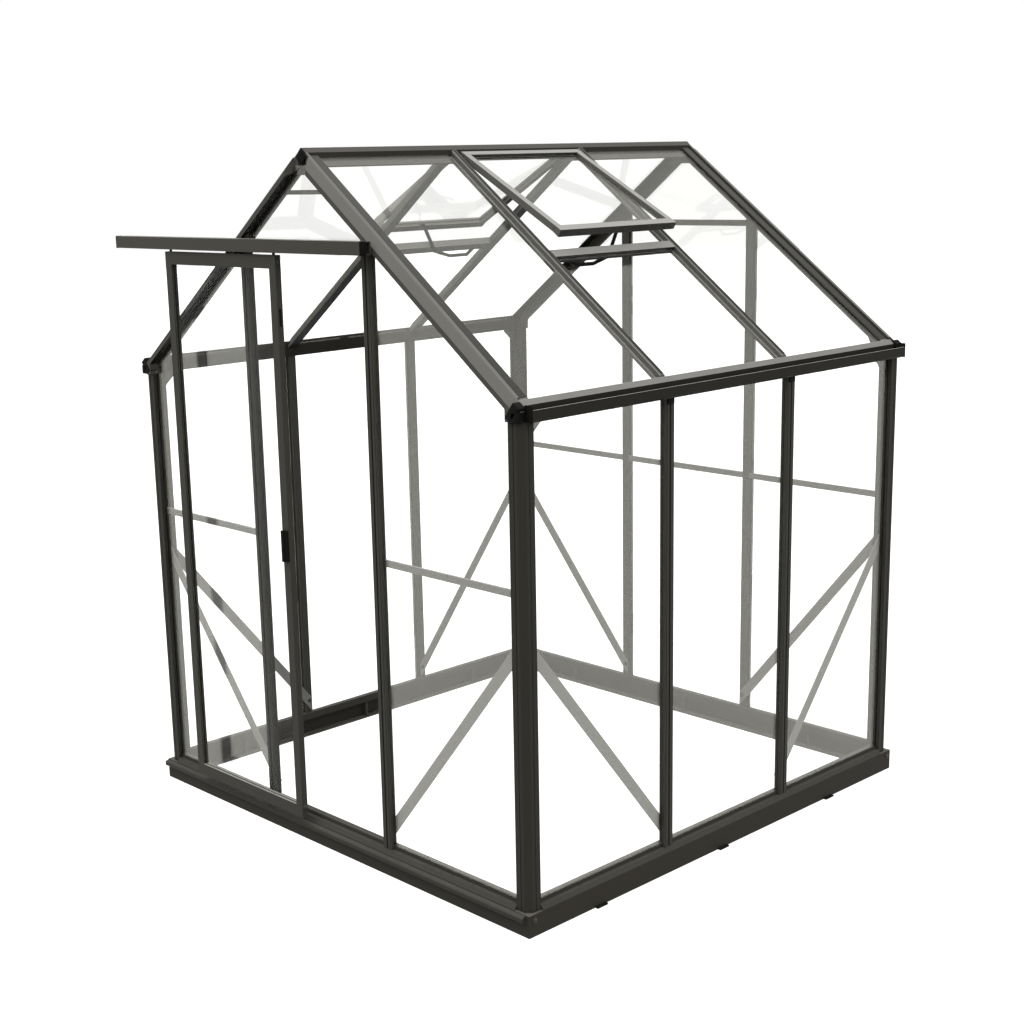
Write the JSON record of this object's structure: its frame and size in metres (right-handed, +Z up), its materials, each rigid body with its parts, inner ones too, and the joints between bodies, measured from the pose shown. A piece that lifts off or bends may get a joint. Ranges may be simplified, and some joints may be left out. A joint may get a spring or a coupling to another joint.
{
  "type": "glass greenhouse",
  "caption": "Square glazed garden greenhouse with a pitched roof, dark metal frame on a base channel, an outside sliding door hung from a track and propped roof vents",
  "frame": {"origin": "centre of the base frame's plan at ground level", "axes": "+Z up, the door gable faces -Y, the ridge runs along Y, +X is to the right when facing the door from outside"},
  "size_m": [1.985, 1.993, 2.3281],
  "materials": {
    "base_steel": "satin powder coat",
    "frame": "satin powder coat",
    "fittings": "satin powder coat",
    "glass": "clear toughened",
    "plastic": "matt black"
  },
  "bodies": {
    "greenhouse": {"base_front": "base_steel", "base_rear": "base_steel", "base_left": "base_steel", "base_right": "base_steel", "sill_front": "frame", "sill_rear": "frame", "sill_left": "frame", "sill_right": "frame", "corner_posts": "frame", "side_bars": "frame", "door_posts": "frame", "rear_bars": "frame", "mid_rails": "frame", "rear_crossbar": "frame", "door_header": "frame", "rafters_front": "frame", "rafters_rear": "frame", "ridge": "frame", "gutter_left": "frame", "gutter_right": "frame", "roof_bars": "frame", "apex_tie": "frame", "vent_sills": "frame", "vent_frame_left": "frame", "vent_frame_right": "frame", "door_track": "frame", "ground_anchors": "fittings", "vent_stays": "fittings", "vent_hinges": "fittings", "gusset_plates": "fittings", "braces": "fittings", "glass_front": "glass", "glass_rear": "glass", "glass_left": "glass", "glass_right": "glass", "glass_roof_left": "glass", "glass_roof_right": "glass", "vent_glass": "glass"},
    "door": {"door_stiles": "frame", "door_rails": "frame", "door_glass": "glass", "door_handle": "plastic", "door_rollers": "plastic"}
  },
  "joints": [
    {"name": "door_slide", "type": "slide", "parent": "greenhouse", "child": "door", "axis": [1, 0, 0], "range_m": [-0.265, 0.39]}
  ]
}
